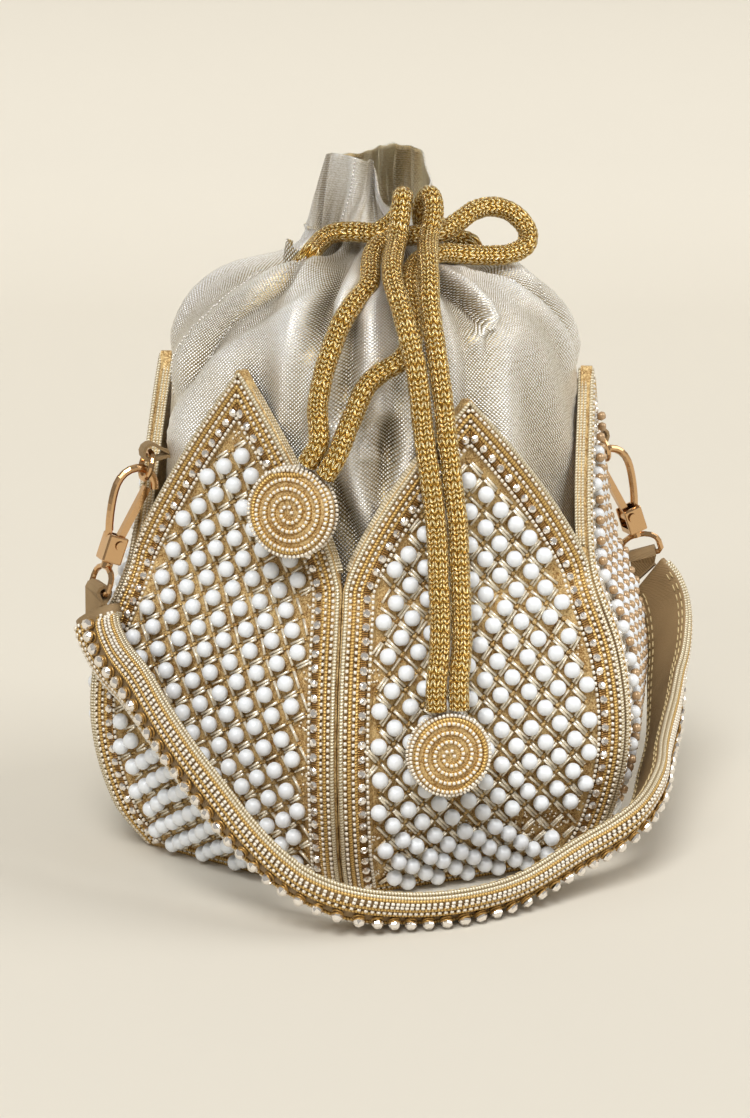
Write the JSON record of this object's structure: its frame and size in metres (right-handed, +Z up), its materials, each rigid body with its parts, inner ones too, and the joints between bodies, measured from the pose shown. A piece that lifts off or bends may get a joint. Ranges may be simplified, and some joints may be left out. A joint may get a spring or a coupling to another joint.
{
  "type": "potli bag",
  "caption": "Potli bag: pointed beaded petals round a hexagonal base, a drawstring pouch inside them, cords ending in round discs, and a handle clipped on by snap hooks.",
  "frame": {"origin": "centre of the hexagonal base, on the face that the bag stands on", "axes": "+Z up through the gathered neck, -Y out of the petal that carries the lower cord disc, X through the two fabric loops that hold the handle"},
  "size_m": [0.1941, 0.179, 0.206],
  "materials": {
    "beaded_petal": "stiff cloth covered with gold thread and beads",
    "base_cloth": "woven khaki-gold cloth",
    "metallic_tissue": "woven silver-gold metallic tissue, soft sheen",
    "gold_cord": "knitted gold metallic cord",
    "beaded_disc": "gold cord and seed beads sewn in a spiral",
    "beaded_strap": "gold cord, seed beads and rhinestones on cloth",
    "strap_lining": "khaki-gold twill",
    "gold_metal": "polished light gold plating"
  },
  "bodies": {
    "bag": {"base_panel": "base_cloth", "petal_front": "beaded_petal", "petal_front_left": "beaded_petal", "petal_back_left": "beaded_petal", "petal_back": "beaded_petal", "petal_back_right": "beaded_petal", "petal_front_right": "beaded_petal", "pouch": "metallic_tissue", "drawstring_left": "gold_cord", "drawstring_right": "gold_cord", "drawstring_bow": "gold_cord", "cord_disc_upper": "beaded_disc", "cord_disc_lower": "beaded_disc"},
    "handle": {"handle_strap": "beaded_strap", "handle_tab_left": "strap_lining", "swivel_eye_left": "gold_metal", "bag_ring_left": "gold_metal", "ring_loop_left": "base_cloth", "handle_tab_right": "strap_lining", "swivel_eye_right": "gold_metal", "bag_ring_right": "gold_metal", "ring_loop_right": "base_cloth"},
    "hook_left_body": {"hook_left": "gold_metal", "gate_rivet_left": "gold_metal"},
    "gate_left_body": {"gate_left": "gold_metal"},
    "hook_right_body": {"hook_right": "gold_metal", "gate_rivet_right": "gold_metal"},
    "gate_right_body": {"gate_right": "gold_metal"}
  },
  "joints": [
    {"name": "handle_swing", "type": "hinge", "parent": "bag", "child": "handle", "pos_m": [0, 0, 0.118], "axis": [-1, 0, 0], "range_deg": [0, 270]},
    {"name": "hook_swivel_left", "type": "hinge", "parent": "handle", "child": "hook_left_body", "pos_m": [-0.08193, 0, 0.09299], "axis": [0.342, 0, 0.9397], "range_deg": [-15, 15]},
    {"name": "gate_hinge_left", "type": "hinge", "parent": "hook_left_body", "child": "gate_left_body", "pos_m": [-0.08109, 0, 0.09268], "axis": [0, -1, 0], "range_deg": [0, 19], "stiffness_Nm_per_rad": 0.02, "springref_deg": -11.46},
    {"name": "hook_swivel_right", "type": "hinge", "parent": "handle", "child": "hook_right_body", "pos_m": [0.08613, 0, 0.08559], "axis": [-0.342, 0, 0.9397], "range_deg": [-15, 15]},
    {"name": "gate_hinge_right", "type": "hinge", "parent": "hook_right_body", "child": "gate_right_body", "pos_m": [0.08528, 0, 0.08528], "axis": [0, 1, 0], "range_deg": [0, 19], "stiffness_Nm_per_rad": 0.02, "springref_deg": -11.46}
  ]
}
